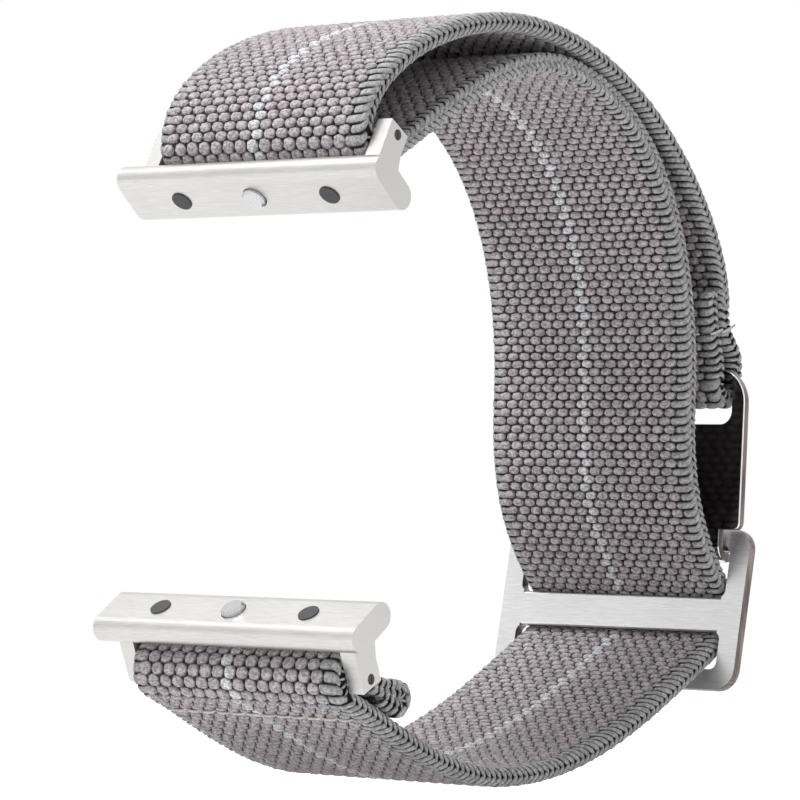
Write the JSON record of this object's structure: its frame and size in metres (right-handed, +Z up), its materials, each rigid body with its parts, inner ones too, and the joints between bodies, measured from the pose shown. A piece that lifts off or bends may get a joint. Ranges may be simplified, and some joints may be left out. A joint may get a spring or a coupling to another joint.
{
  "type": "canvas watch strap",
  "caption": "Elastic woven canvas watch strap, closed as worn, with a brushed steel slider and hook, and a pivoting rail connector at each end for the watch case.",
  "frame": {"origin": "midway between the axes of the two spring bars, in the middle of the strap's width, where the watch sits", "axes": "+X along the spring bars, to the right as seen from the front; +Y from the watch back to the wrist and the slider; +Z up, from the lower spring bar to the upper one"},
  "size_m": [0.028, 0.0587, 0.0657],
  "materials": {
    "webbing": "coarse heathered weave, matt",
    "thread": "matt polyester thread",
    "plates": "brushed across, polished edges",
    "connectors": "satin",
    "spring_bars": "turned, satin",
    "pads": "matt"
  },
  "bodies": {
    "webbing": {"webbing_lower_fold": "webbing", "webbing_lower_run": "webbing", "webbing_lower_lead": "webbing", "webbing_inner_lead": "webbing", "webbing_inner_run": "webbing", "webbing_upper_loop": "webbing", "webbing_outer_run": "webbing", "webbing_outer_lead": "webbing", "lower_fold_stitching": "thread"},
    "slider": {"slider_plate": "plates", "webbing_slider_bend": "webbing"},
    "hook_end": {"hook_plate": "plates", "webbing_hook_fold": "webbing", "hook_fold_stitching": "thread"},
    "upper_end": {"upper_connector": "connectors", "upper_bar_tube": "spring_bars", "upper_bar_spring": "spring_bars", "upper_catch_spring": "spring_bars", "upper_grip_pad_right": "pads", "upper_grip_pad_left": "pads"},
    "upper_tip_right": {"upper_bar_tip_right": "spring_bars"},
    "upper_tip_left": {"upper_bar_tip_left": "spring_bars"},
    "upper_catch_head": {"upper_catch": "spring_bars"},
    "lower_end": {"lower_connector": "connectors", "lower_bar_tube": "spring_bars", "lower_bar_spring": "spring_bars", "lower_catch_spring": "spring_bars", "lower_grip_pad_right": "pads", "lower_grip_pad_left": "pads"},
    "lower_tip_right": {"lower_bar_tip_right": "spring_bars"},
    "lower_tip_left": {"lower_bar_tip_left": "spring_bars"},
    "lower_catch_head": {"lower_catch": "spring_bars"}
  },
  "joints": [
    {"name": "slider_adjust", "type": "slide", "parent": "webbing", "child": "slider", "axis": [0, 0.153, 0.9882], "range_m": [-0.003, 0.003], "deforming": ["webbing_inner_lead", "webbing_lower_lead", "webbing_outer_lead"]},
    {"name": "hook_release", "type": "slide", "parent": "slider", "child": "hook_end", "axis": [0, -0.153, -0.9882], "range_m": [0, 0.0017], "stiffness_N_per_m": 200, "springref_m": -0.0005, "deforming": ["webbing_outer_lead", "webbing_inner_lead", "webbing_slider_bend"]},
    {"name": "upper_connector_pivot", "type": "hinge", "parent": "webbing", "child": "upper_end", "pos_m": [0, 0, 0.022], "axis": [1, 0, 0], "range_deg": [-45, 65]},
    {"name": "lower_connector_pivot", "type": "hinge", "parent": "webbing", "child": "lower_end", "pos_m": [0, 0, -0.022], "axis": [1, 0, 0], "range_deg": [-65, 45]},
    {"name": "upper_tip_right_press", "type": "slide", "parent": "upper_end", "child": "upper_tip_right", "axis": [-1, 0, 0], "range_m": [0, 0.0013], "stiffness_N_per_m": 300, "springref_m": -0.0005, "deforming": ["upper_bar_spring"]},
    {"name": "upper_tip_left_press", "type": "slide", "parent": "upper_end", "child": "upper_tip_left", "axis": [1, 0, 0], "range_m": [0, 0.0013], "stiffness_N_per_m": 300, "springref_m": -0.0005, "deforming": ["upper_bar_spring"]},
    {"name": "upper_catch_press", "type": "slide", "parent": "upper_end", "child": "upper_catch_head", "axis": [0, 0.6157, 0.788], "range_m": [0, 0.0004], "stiffness_N_per_m": 400, "springref_m": -0.0002, "deforming": ["upper_catch_spring"]},
    {"name": "lower_tip_right_press", "type": "slide", "parent": "lower_end", "child": "lower_tip_right", "axis": [-1, 0, 0], "range_m": [0, 0.0013], "stiffness_N_per_m": 300, "springref_m": -0.0005, "deforming": ["lower_bar_spring"]},
    {"name": "lower_tip_left_press", "type": "slide", "parent": "lower_end", "child": "lower_tip_left", "axis": [1, 0, 0], "range_m": [0, 0.0013], "stiffness_N_per_m": 300, "springref_m": -0.0005, "deforming": ["lower_bar_spring"]},
    {"name": "lower_catch_press", "type": "slide", "parent": "lower_end", "child": "lower_catch_head", "axis": [0, 0.6157, -0.788], "range_m": [0, 0.0004], "stiffness_N_per_m": 400, "springref_m": -0.0002, "deforming": ["lower_catch_spring"]}
  ]
}
